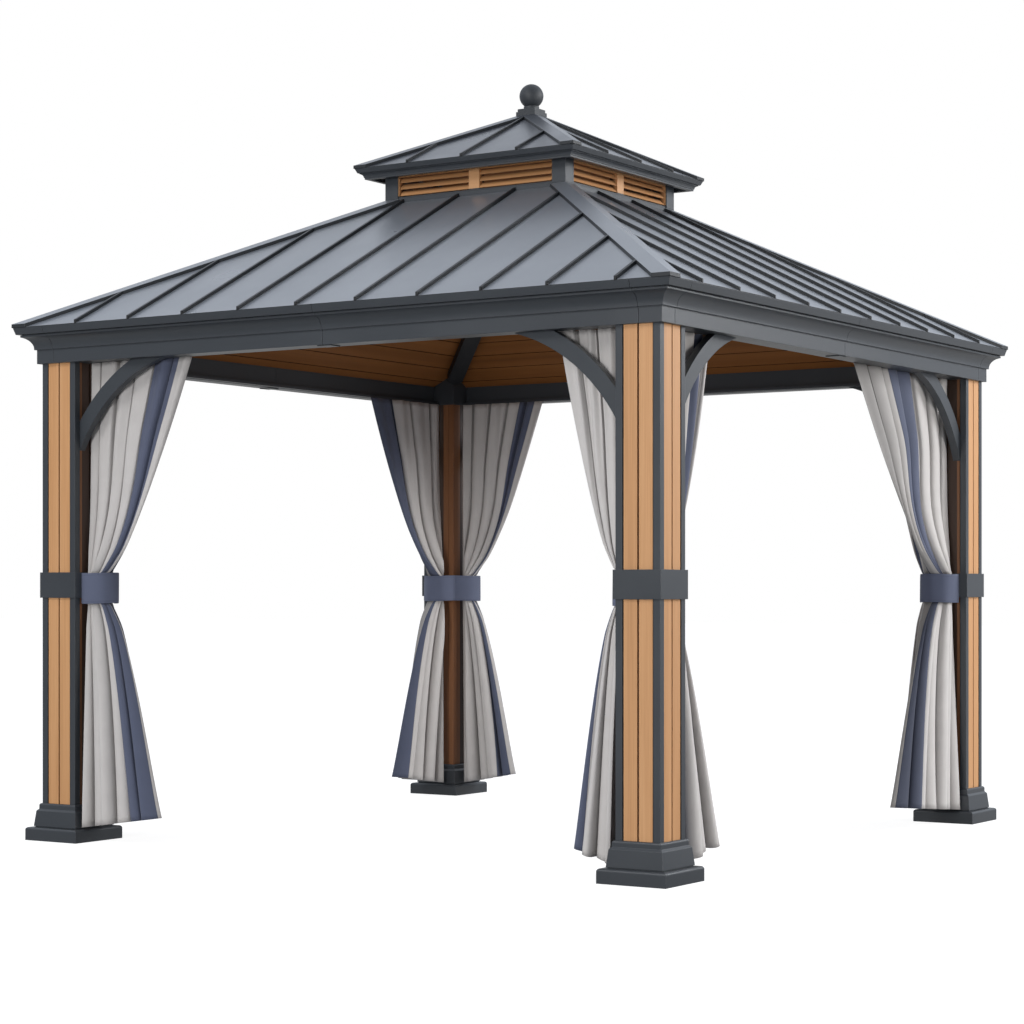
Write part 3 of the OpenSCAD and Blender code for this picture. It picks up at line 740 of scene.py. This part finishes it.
@dataclass
class Curtain:
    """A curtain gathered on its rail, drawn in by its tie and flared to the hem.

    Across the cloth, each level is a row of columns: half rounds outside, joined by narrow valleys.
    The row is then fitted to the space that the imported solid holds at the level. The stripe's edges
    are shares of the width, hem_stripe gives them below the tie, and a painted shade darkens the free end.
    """

    node: str
    folds: float
    seed: int
    stripe: tuple[float, float]
    hem_stripe: Optional[tuple[float, float]] = None
    columns: int = 240
    rows: int = 96
    gathers: int = 13
    thickness: float = 1.0 * MILLIMETRE
    low_power: float = 0.68
    high_power: float = 0.75
    thin_by: float = 0.5
    clearance: float = 1.5 * MILLIMETRE
    pair_gap: float = 5 * MILLIMETRE
    column_share: float = 0.5
    column_half: float = 0.43
    most_round: float = 0.6
    tie_squeeze: float = 0.1
    end_calm: float = 0.8
    free_power: float = 2.6
    free_end: float = 1.0
    hem_reach: float = 0.0
    # Painted shade on the free end of the cloth.
    free_end_shade: float = 0.0
    turned_in: bool = False
    first_turn: float = math.radians(95)
    last_turn: float = math.radians(16)
    post_oval: float = -0.72
    post_power: float = 4.0
    drifts: tuple[float, float] = (0.03, 0.026)
    sways: tuple[float, float] = (0.07, 0.05)
    depth_change: float = 0.2
    gather_depth: float = 0.3
    # Painted shade: darker on the columns' sides, in the valleys and towards the heading.
    round_shade: float = 0.1
    valley_shade: float = 0.25
    heading_shade: float = 0.1
    hem_part: int = 9

    @property
    def swapped(self) -> bool:
        """Whether the curtain hangs on the left or right side."""
        return self.node.startswith(("left", "right"))

    @property
    def corner(self) -> Corner:
        """Corner that the node's name gives by its side and its end of the side."""
        side, _, end = self.node.split("_")
        return CORNERS[f"{end}_{side}" if self.swapped else f"{side}_{end}"]

    def sections(self) -> tuple[Section, Section, Section, float, float]:
        """Spaces at the hem, the tie and the heading, and how the hem rises.

        Returns:
            The three sections, the height of the hem beside the post and its rise to the free end.
        """
        points = self.corner.to_local(node_points(self.node), self.swapped)
        tie_low, tie_high = (corner.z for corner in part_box(f"{self.corner.name}_tie"))
        top = points[:, 2].max()
        near = 2 * MILLIMETRE
        heading = Section.of(points[points[:, 2] > top - near])
        waist = Section.of(points[np.abs(points[:, 2] - tie_high) < near])
        hem_z = points[:, 2].min()
        hem = Section.of(points[points[:, 2] < (tie_low + hem_z) / self.hem_part])
        free = points[points[:, 0] > hem.end - near]
        rise = free[free[:, 2] < tie_low][:, 2].min() - hem_z
        return hem, waist, heading, hem_z, rise

    def levels(self, low: float, tie_low: float, tie_high: float, top: float) -> Array:
        """Heights of the rows, which crowd towards the tie as a power of the way from it."""
        lower = tie_low - (tie_low - low) * np.linspace(1.0, 0.0, self.rows // 2) ** 1.5
        upper = tie_high + (top - tie_high) * np.linspace(0.0, 1.0, self.rows // 2) ** 1.5
        return np.concatenate([lower, np.linspace(tie_low, tie_high, 6)[1:-1], upper])[:, None]

    def columns_of_folds(
        self, across: Array, level: Array, round_depth: Array, rng: np.random.Generator
    ) -> tuple[Array, Array, Array]:
        """Way along the row, depth and painted shade of the cloth at each point, all as shares.

        The fold number f is the share across times the number of folds, with slow seeded drifts. Its
        distance t from the nearest whole number places a point on a column, where an angle a gives
        the way c sin a and the depth r (1 - cos a), or on a valley, whose depth is a sine. Fine
        gathers are added near the heading.

        Args:
            across: Shares across the cloth, as one row.
            level: Shares of the way from the tie (0) to the heading (1), as one column; below the
                tie they run from 0 to -1 at the hem.
            round_depth: Share of the depth that the columns' rounds take at each level.
            rng: Source of the seeded drifts.

        Returns:
            Shares of the way from 0 to 1, of the depth from -1 outside to 1 inside, and of the
            full tone that the painted shade leaves: all on the crests, less on the columns' sides and
            in the valleys, towards the heading and on a shaded free end.
        """
        shifts = rng.uniform(0.0, TURN, 8)
        inner = 4 * across * (1 - across)
        drift = self.drifts[0] * np.sin(TURN * 1.3 * across + shifts[0])
        drift = drift + self.drifts[1] * np.sin(TURN * 2.7 * across + shifts[1])
        sway = self.sways[0] * np.sin(1.7 * level + shifts[3])
        sway = sway + self.sways[1] * np.sin(TURN * 1.1 * across + 3 * level + shifts[4])
        fold = self.folds * (across + drift * inner) + sway * inner
        crest = np.floor(fold + 0.5)
        offset = fold - crest
        size, half = np.abs(offset), self.column_share / 2
        angle = np.clip(size / half, 0.0, 1.0) * math.pi / 2
        valley = np.clip((size - half) / (0.5 - half), 0.0, 1.0)
        way = self.column_half * np.sin(angle) + (0.5 - self.column_half) * valley
        depth = round_depth * (1 - np.cos(angle)) + (1 - round_depth) * np.sin(valley * math.pi / 2)
        run = crest + np.sign(offset) * way
        run = (run - run[:, :1]) / (run[:, -1:] - run[:, :1])
        shallow = 1 - self.end_calm * smooth_step(0.35, 1.0, run)
        wave = 2 * depth - 1
        wave = np.where(wave > 0, wave * shallow, wave)
        change = np.sin(TURN * 2.1 * across + 1.4 * level + shifts[2]) - 1
        wave = wave * (1 + self.depth_change * change)
        fine = self.gather_depth * smooth_step(0.1, 0.9, level)
        gathers = np.cos(TURN * self.gathers * (across + 0.6 * drift) + shifts[5] + 1.5 * level)
        wave = wave * (1 - fine) - fine * gathers
        # Painted shade of the columns' sides, the valleys, the heading and the free end.
        cloth_shade = 1 - self.round_shade * (1 - np.cos(angle)) - self.valley_shade * np.sqrt(valley)
        cloth_shade = cloth_shade - self.heading_shade * smooth_step(0.3, 1.0, level)
        cloth_shade = cloth_shade * (1 - self.free_end_shade * smooth_step(0.6, 0.9, run))
        return run, wave * (-1 if self.turned_in else 1), cloth_shade

    def surface(self) -> tuple[Array, Array, Array]:
        """Places of the cloth, its flat coordinates and its painted shade.

        At the tie the chain of folds is laid round an arc, by the cosine and sine of a turn that ends at
        the free edge. Towards the heading it is drawn out straight, and towards the hem it fills an
        oval |x|^p + |y|^p = 1 that is squarish beside the post and has a p of its own at the free edge.

        Returns:
            Points in the part's frame, their flat places in metres and their painted shade, row by row
            from the hem.
        """
        hem, waist, heading, hem_z, rise = self.sections()
        tie_low, tie_high = (corner.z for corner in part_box(f"{self.corner.name}_tie"))
        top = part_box(self.node)[1].z
        rng = np.random.default_rng(self.seed)
        across = np.linspace(0.0, 1.0, self.columns)[None, :]
        height = self.levels(hem_z, tie_low, tie_high, top)
        above = np.clip((height - tie_high) / (top - tie_high), 0.0, 1.0)
        below = np.clip((tie_low - height) / (tie_low - hem_z), 0.0, 1.0)
        spread_up, spread_down = above**self.high_power, below**self.low_power
        thin = np.clip(above / self.thin_by, 0.0, 1.0)
        thin = thin * (2 - thin)

        def fitted(part: str, up: Array) -> Array:
            """Size of the section at each level, between the tie's and the heading's or hem's."""
            tied = getattr(waist, part)
            return tied + (getattr(heading, part) - tied) * up + (getattr(hem, part) - tied) * spread_down

        start = fitted("start", spread_up)
        end = fitted("end", spread_up) + self.hem_reach * spread_down
        middle, half = fitted("middle", thin), fitted("half", thin)
        pitch = (end - start) / self.folds
        round_depth = np.clip(self.column_half * pitch / (2 * half), 0.0, self.most_round)
        run, wave, cloth_shade = self.columns_of_folds(across, above - below, round_depth, rng)
        turn = self.first_turn + (self.last_turn - self.first_turn) * run
        first_reach, most_reach = math.cos(self.first_turn), math.cos(max(self.last_turn, 0.0))
        round_run = (np.cos(turn) - first_reach) / (most_reach - first_reach)
        oval = blend_between(self.post_oval, self.free_end, run)
        power = np.where(oval < 0, self.post_power, self.free_power)
        square_taper = (1 - np.abs(oval) ** power) ** (1 / power)
        straight = smooth_step(0.1, 0.7, above)
        share = blend_between(blend_between(round_run, run, straight), run, spread_down)
        taper = blend_between(blend_between(np.sin(turn), 1.0, straight), square_taper, spread_down)
        squeeze = 1 - self.tie_squeeze * smooth_step(0.12, 0.0, above + below)
        along = start + (end - start) * share * squeeze
        depth = (half - self.clearance - self.thickness) * squeeze
        into = np.minimum(middle + depth * taper * wave, along - self.pair_gap)
        height = height + rise * run * below**6
        points = self.corner.to_part(along, into, height, self.swapped)
        steps = np.linalg.norm(np.diff(points, axis=1), axis=2).sum(axis=1)
        self.width = float(steps.mean())
        self.length = float(top - hem_z)
        self.tie_heights = (float(tie_low - hem_z), float(tie_high - hem_z))
        flat = np.stack(np.broadcast_arrays(across * self.width, height - hem_z), axis=-1)
        return points, flat, cloth_shade

    def build(self, finishes: FinishStore) -> bpy.types.Object:
        """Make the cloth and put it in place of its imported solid.

        Args:
            finishes: Store of the materials.

        Returns:
            The finished curtain.
        """
        points, flat, cloth_shade = self.surface()
        rows, columns = points.shape[:2]
        piece = make_piece(
            f"{self.node}_cloth", points, grid_faces(rows, columns), finishes.get(CURTAIN_CLOTH)
        )
        across = flat[..., 0]
        lower = smooth_step(self.tie_heights[1], self.tie_heights[0], flat[..., 1])
        edges = zip(self.stripe, self.hem_stripe or self.stripe)
        first, last = (blend_between(upper, hem, lower) * self.width for upper, hem in edges)
        inside = np.minimum(across - first, last - across)
        set_cloth_map(piece.data, flat, inside, cloth_shade)
        solid = piece.modifiers.new("thickness", "SOLIDIFY")
        solid.thickness = self.thickness
        solid.offset = 0.0
        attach(piece, BODY)
        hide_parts(self.node)
        f"{self.corner.name}_tie_band"
        LOG.info("%s: cloth %.2f m wide before it was gathered", piece.name, self.width)
        return piece


@dataclass
class Tie:
    """A band of cloth round the pair of curtains at one post, seamed at the inner corner.

    The path starts on the post's band, follows an arc round one waist, runs straight to the inner
    corner and repeats in mirror image. A flat closed profile with rolled edges is carried along it.
    """

    corner: Corner
    seed: int
    waist_out: float = 0.1
    waist_depth: float = 0.18
    waist_inset: float = 0.03
    slack: float = 0.018
    thickness: float = 4 * MILLIMETRE
    gap: float = 1 * MILLIMETRE
    steps: int = 120
    corner_round: int = 5
    profile_points: int = 40
    edge_power: float = 0.3
    face_power: float = 0.6
    height_share: float = 0.985
    curl: float = 1.2 * MILLIMETRE
    ripple: float = 0.8 * MILLIMETRE
    sway: float = 1.5 * MILLIMETRE
    hem_line: float = 9 * MILLIMETRE
    seam_half: float = 6 * MILLIMETRE

    def arc(self, share: float, band: float, apex: float) -> Array:
        """Points round one waist, from the post's band to the tangent towards the inner corner.

        Args:
            share: Size of the waist as a share of the usual one.
            band: Half width of the post's band.
            apex: Both coordinates of the inner corner.

        Returns:
            Points at even turns of an arc, in the plan of the corner.
        """
        radius = share * self.waist_depth / 2
        centre = np.array([band + share * self.waist_out - radius, share * self.waist_inset])
        radius = radius + self.gap + self.thickness / 2
        away = apex - centre
        first = -math.acos((band - centre[0]) / radius)
        last = math.atan2(away[1], away[0]) - math.acos(radius / np.linalg.norm(away))
        angles = np.linspace(first, last, self.steps)
        return centre + radius * np.stack([np.cos(angles), np.sin(angles)], axis=-1)

    def path(self) -> tuple[Array, float]:
        """Middle line of the band in the corner's plan, at even steps.

        Returns:
            Points of u and v from the post's band round both waists to the band, and the share of the
            way at which the inner corner lies.
        """
        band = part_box("post_bands")[1].x - abs(self.corner.centre[0])
        points = self.corner.to_local(node_points(f"{self.corner.name}_tie"), False)
        shares = (points[:, :2].max(axis=0) - band - self.gap - self.thickness) / self.waist_out
        apex = band + shares.max() * self.slack + self.thickness / 2
        first, second = (self.arc(share, band, apex) for share in shares)
        route = np.concatenate([first, np.full((1, 2), apex), second[::-1, ::-1]])
        travelled = np.concatenate([[0.0], np.cumsum(np.linalg.norm(np.diff(route, axis=0), axis=1))])
        even = np.linspace(0.0, travelled[-1], 2 * self.steps + 1)
        line = np.stack([np.interp(even, travelled, route[:, axis]) for axis in range(2)], axis=-1)
        ends = ((self.corner_round, self.corner_round), (0, 0))
        padded = np.pad(line, ends, mode="reflect", reflect_type="odd")
        weights = np.hanning(2 * self.corner_round + 3)[1:-1]
        smooth = [np.convolve(padded[:, axis], weights / weights.sum(), mode="valid") for axis in range(2)]
        return np.stack(smooth, axis=-1), float(travelled[self.steps] / travelled[-1])

    def build(self, finishes: FinishStore) -> bpy.types.Object:
        """Carry the profile along the path and close its ends.

        The profile is h = sin(a)^p and d = cos(a)^q with their signs kept, in shares h of the half
        height and d of the half thickness, so that it is flat with rolled edges.

        Args:
            finishes: Store of the materials.

        Returns:
            The finished tie.
        """
        line, apex = self.path()
        low, high = (corner.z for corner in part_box(f"{self.corner.name}_tie"))
        count = len(line)
        forward = np.gradient(line, axis=0)
        forward /= np.linalg.norm(forward, axis=1, keepdims=True)
        outward = np.stack([forward[:, 1], -forward[:, 0]], axis=-1)
        around = np.linspace(0.0, TURN, self.profile_points, endpoint=False)
        rise = np.sign(np.sin(around)) * np.abs(np.sin(around)) ** self.edge_power
        out = np.sign(np.cos(around)) * np.abs(np.cos(around)) ** self.face_power
        rng = np.random.default_rng(self.seed)
        travel = np.linspace(0.0, 1.0, count)[:, None]
        shifts = rng.uniform(0.0, TURN, 4)
        ripple = self.curl * np.sin(TURN * 3 * travel + shifts[0]) * rise[None, :]
        ripple = ripple + self.ripple * np.sin(TURN * 7 * travel + shifts[1])
        held = smooth_step(0.0, 0.06, travel) * smooth_step(1.0, 0.94, travel)
        offset = out[None, :] * self.thickness / 2 + ripple * held
        plan = line[:, None, :] + outward[:, None, :] * offset[..., None]
        sway = self.sway * np.sin(TURN * 2 * travel + shifts[2])
        height = (low + high) / 2 + rise[None, :] * (high - low) / 2 * self.height_share + sway
        points = self.corner.to_part(plan[..., 0], plan[..., 1], height, False)
        sides = len(around)
        faces = grid_faces(count, sides, closed=True).tolist()
        faces += [list(range(sides))[::-1], list(range((count - 1) * sides, count * sides))]
        if self.corner.right != self.corner.back:
            faces = [face[::-1] for face in faces]
        name = f"{self.corner.name}_tie_band"
        piece = make_piece(name, points, faces, finishes.get(TIE_CLOTH))
        length = float(np.linalg.norm(np.diff(line, axis=0), axis=1).sum())
        flat = np.stack(
            np.broadcast_arrays(travel * length, (rise[None, :] + 1) * (high - low) / 2), axis=-1
        )
        edge = (1 - np.abs(rise[None, :])) * (high - low) / 2 - self.hem_line
        seam = np.abs(np.abs(travel - apex) * length - self.seam_half)
        set_cloth_map(piece.data, flat, np.minimum(np.abs(edge), seam), np.ones(flat.shape[:2]))
        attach(piece, BODY)
        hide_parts(f"{self.corner.name}_tie")
        LOG.info("%s: band %.2f m long", piece.name, length)
        return piece


CORNERS = {
    name: Corner(back=name.startswith("back"), right=name.endswith("right"))
    for name in ("front_left", "front_right", "back_right", "back_left")
}


@dataclass
class SoftGoods:
    """All curtains and ties."""

    finishes: FinishStore

    def curtains(self) -> list[Curtain]:
        """The eight curtains with their folds, seeds and stripes."""
        flared = {"turned_in": True, "pair_gap": 85 * MILLIMETRE}
        return [
            Curtain("front_curtain_left", 5.25, 11, (0.62, 0.93), (0.64, 0.985), hem_reach=0.012),
            Curtain(
                "front_curtain_right", 3.25, 12, (1.0, 1.2), (0.87, 1.2), free_power=6.0, free_end=0.98
            ),
            Curtain("right_curtain_front", 3.9, 13, (0.58, 0.8), (-0.1, 0.12)),
            Curtain(
                "right_curtain_back",
                6.25,
                14,
                (0.44, 0.66),
                (0.75, 0.982),
                last_turn=math.radians(-12),
                free_end_shade=0.45,
            ),
            Curtain("back_curtain_right", 4.25, 15, (0.66, 0.86), (0.1, 0.3), turned_in=True),
            Curtain("back_curtain_left", 4.25, 16, (0.73, 0.95), (0.73, 0.965), hem_reach=0.07, **flared),
            Curtain("left_curtain_back", 3.25, 17, (0.71, 1.05), (0.93, 1.1), hem_reach=0.08, **flared),
            Curtain("left_curtain_front", 5.25, 18, (0.66, 0.86)),
        ]

    def build(self) -> None:
        """Make the ties first, and then the curtains."""
        for number, corner in enumerate(CORNERS.values()):
            Tie(corner, 31 + number).build(self.finishes)
        for curtain in self.curtains():
            curtain.build(self.finishes)


@dataclass
class RigidFrame:
    """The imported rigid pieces, which only take better finishes."""

    finishes: FinishStore

    def dress(self) -> None:
        """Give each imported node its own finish, or else that of its material slot."""
        for row in frame["record"]["subparts"]:
            piece = frame["nodes"][row["node"]]
            finish = NODE_FINISHES.get(row["node"], SLOT_FINISHES[row["material_slot"]])
            piece.data.materials.clear()
            piece.data.materials.append(self.finishes.get(finish))
            LOG.info("%s: %s", row["node"], finish.name)


@dataclass
class SeamEndShade:
    """Near-black blocks on the ends of the standing seams, as one joined mesh: painted shade of the end
    faces.
    """

    finishes: FinishStore
    inset: float = 1.5 * MILLIMETRE
    proud: float = 2.5 * MILLIMETRE
    foot: float = 3 * MILLIMETRE

    def ends(self, node: str, turn: int) -> Array:
        """End faces of one side's seams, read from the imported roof.

        Args:
            node: Roof node.
            turn: Quarter turns from the right side.

        Returns:
            Rows of reach, first and last place along the side, and lowest and highest point.
        """
        spin = np.array([[math.cos(turn * math.pi / 2), -math.sin(turn * math.pi / 2)]])
        spin = np.round(np.concatenate([spin, [[-spin[0, 1], spin[0, 0]]]]))
        points = node_points(node)
        points = np.concatenate([points[:, :2] @ spin, points[:, 2:]], axis=-1)
        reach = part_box(node)[1].x if node == "upper_roof" else points[:, 0].max()
        face = points[points[:, 0] > reach - MILLIMETRE / 2]
        top = face[:, 2].max()
        edges = np.unique(np.round(face[face[:, 2] > top - MILLIMETRE / 2][:, 1], 4)).reshape(-1, 2)
        low = face[:, 2].min() + self.foot
        return np.stack(np.broadcast_arrays(reach, edges[:, 0], edges[:, 1], low, top), axis=-1)

    def build(self) -> bpy.types.Object:
        """Set a near-black block with a bevelled face on every seam end, as painted shade.

        Returns:
            The joined blocks of painted shade.
        """
        sides = [("right_roof", 0), ("back_roof", 1), ("left_roof", 2), ("front_roof", 3)]
        sides += [("upper_roof", turn) for turn in range(4)]
        unit = np.array([(0, 0), (1, 0), (1, 1), (0, 1)], dtype=float)
        walls = [(0, 4, 5, 1), (1, 5, 6, 2), (2, 6, 7, 3), (3, 7, 4, 0)]
        quads = np.array([(0, 1, 2, 3), (7, 6, 5, 4), *walls])
        points = []
        for node, turn in sides:
            reach, first, last, low, top = (part[:, None] for part in self.ends(node, turn).T)
            rings = []
            for out, shrink in ((self.proud, self.inset), (0.0, 0.0)):
                along = first + shrink + (last - first - 2 * shrink) * unit[:, 0]
                height = low + shrink + (top - low - 2 * shrink) * unit[:, 1]
                rings.append(np.stack(np.broadcast_arrays(reach + out, along, height), axis=-1))
            block = np.concatenate(rings, axis=1).reshape(-1, 3)
            cosine, sine = round(math.cos(turn * math.pi / 2)), round(math.sin(turn * math.pi / 2))
            x = block[:, 0] * cosine - block[:, 1] * sine
            y = block[:, 0] * sine + block[:, 1] * cosine
            points.append(np.stack([x, y, block[:, 2]], axis=-1))
        joined = np.concatenate(points)
        faces = (np.arange(0, len(joined), 8)[:, None, None] + quads).reshape(-1, 4)
        # Near-black blocks: painted shade on the seam ends.
        piece = make_piece("seam_end_shade_blocks", joined, faces, self.finishes.get(SEAM_END_SHADE), smooth=False)
        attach(piece, BODY)
        LOG.info("%s: %d shade_blocks", piece.name, len(joined) // 8)
        return piece


@dataclass
class Studio:
    """White studio: camera, lamps, world and a pale floor that keeps a faint shadow."""

    camera_place: Colour = (6.112, -9.594, 1.121)
    camera_turn: float = 0.5752
    lens: float = 85.79
    shift_up: float = 0.075
    floor_half: float = 60.0
    floor_albedo: float = 0.4
    towards_camera: Colour = (0.545, -0.838, 0.0)
    aim: Colour = (0.0, 0.0, 1.2)
    white_level: float = 0.88
    shadow_albedo: float = 0.3
    warm: Colour = (1.0, 0.975, 0.94)

    def build(self) -> None:
        """Set up everything round the object."""
        scene = bpy.context.scene
        scene.view_settings.view_transform = "Standard"
        self.place_camera(scene)
        self.light_world(scene)
        self.lay_floor()
        self.hang_lamp("front", (1.5, -14.0, 2.2), 4.0, 720.0)
        self.hang_lamp("front_high", (-3.0, -11.0, 9.0), 5.0, 500.0)
        self.hang_lamp("right", (13.0, -0.3, 2.2), 3.0, 460.0, self.warm)
        self.hang_lamp("right_high", (8.0, 5.5, 5.5), 4.0, 620.0)

    def place_camera(self, scene: bpy.types.Scene) -> None:
        """Put a level camera with a raised view where the photograph was taken from."""
        lens = bpy.data.cameras.new("camera")
        lens.lens = self.lens
        lens.shift_y = self.shift_up
        lens.clip_end = 200.0
        camera = bpy.data.objects.new("camera", lens)
        camera.location = self.camera_place
        camera.rotation_euler = (math.pi / 2, 0.0, self.camera_turn)
        scene.collection.objects.link(camera)
        scene.camera = camera

    def white_rays(self, graph: Graph) -> Wire:
        """One for rays that show the background itself, else zero."""
        path = graph.node("ShaderNodeLightPath").socket.node.outputs
        seen = Wire(graph, path["Is Camera Ray"]) + Wire(graph, path["Is Transmission Ray"])
        return graph.math("MINIMUM", seen, 1.0)

    def light_world(self, scene: bpy.types.Scene) -> None:
        """White to the camera; to the object, bright behind it and dim on the camera's side."""
        world = bpy.data.worlds.new("studio")
        scene.world = world
        world.use_nodes = True
        graph = Graph(world.node_tree)
        way = graph.node("ShaderNodeTexCoord", output="Generated")
        facing = graph.dot(way, self.towards_camera)
        rise = graph.split(way)[2]
        level = graph.step(facing, -0.3, 0.5, 1.0, 0.18) * graph.step(rise, 0.1, 0.5, 0.6, 1.0)
        walls = graph.node("ShaderNodeBackground", None, {"Strength": level, "Color": (0.9, 0.96, 1.06, 1)})
        white = graph.node("ShaderNodeBackground", None, {"Strength": 1.0, "Color": (1, 1, 1, 1)})
        shown = graph.node("ShaderNodeMixShader", None, {0: self.white_rays(graph), 1: walls, 2: white})
        graph.node("ShaderNodeOutputWorld", None, {"Surface": shown})

    def lay_floor(self) -> None:
        """A pale floor, white where the camera sees it unshaded."""
        material = bpy.data.materials.new("pale_floor")
        material.use_nodes = True
        graph = Graph(material.node_tree)
        path = graph.node("ShaderNodeLightPath").socket.node.outputs
        glossy = Wire(graph, path["Is Glossy Ray"])
        place = graph.object_place()
        glow = graph.step(graph.dot(place, self.towards_camera), -3.0, 4.0, 0.55, 0.1)
        mat = graph.node("ShaderNodeBsdfDiffuse", None, {"Color": (*(self.floor_albedo,) * 3, 1)})
        white = graph.node("ShaderNodeEmission", None, {"Color": (1, 1, 1, 1), "Strength": self.white_level})
        soft = graph.node("ShaderNodeBsdfDiffuse", None, {"Color": (*(self.shadow_albedo,) * 3, 1)})
        seen = graph.node("ShaderNodeAddShader", None, {0: white, 1: soft})
        mirror = graph.node("ShaderNodeEmission", None, {"Color": (1, 1, 1, 1), "Strength": glow})
        other = graph.node("ShaderNodeMixShader", None, {0: glossy, 1: mat, 2: mirror})
        shown = graph.node("ShaderNodeMixShader", None, {0: self.white_rays(graph), 1: other, 2: seen})
        graph.node("ShaderNodeOutputMaterial", None, {"Surface": shown})
        reach = np.array([-self.floor_half, self.floor_half])
        x, y = np.meshgrid(reach, reach)
        points = np.stack([x, y, np.zeros_like(x)], axis=-1)
        floor = make_piece("floor", points, grid_faces(2, 2), material)

    def hang_lamp(
        self, name: str, place: Colour, size: float, power: float, tint: Colour = (1.0, 1.0, 1.0)
    ) -> None:
        """Hang a square soft lamp that faces the aim.

        Args:
            name: Name of the lamp.
            place: Where it hangs.
            size: Length of its sides.
            power: Watts.
            tint: Colour of its light.
        """
        lamp = bpy.data.lights.new(name, "AREA")
        lamp.size = size
        lamp.energy = power
        lamp.color = tint
        hung = bpy.data.objects.new(name, lamp)
        hung.location = place
        way = np.array(self.aim) - np.array(place)
        hung.rotation_euler = (
            math.acos(-way[2] / np.linalg.norm(way)),
            0.0,
            math.atan2(way[1], way[0]) - math.pi / 2,
        )
        bpy.context.scene.collection.objects.link(hung)


def main() -> None:
    """Dress the frame, hang the curtains and set up the studio."""
    logging.basicConfig(level=logging.INFO, format="%(name)s: %(message)s")
    finishes = FinishStore()
    RigidFrame(finishes).dress()
    SeamEndShade(finishes).build()
    SoftGoods(finishes).build()
    Studio().build()


if __name__ == "__main__":
    main()
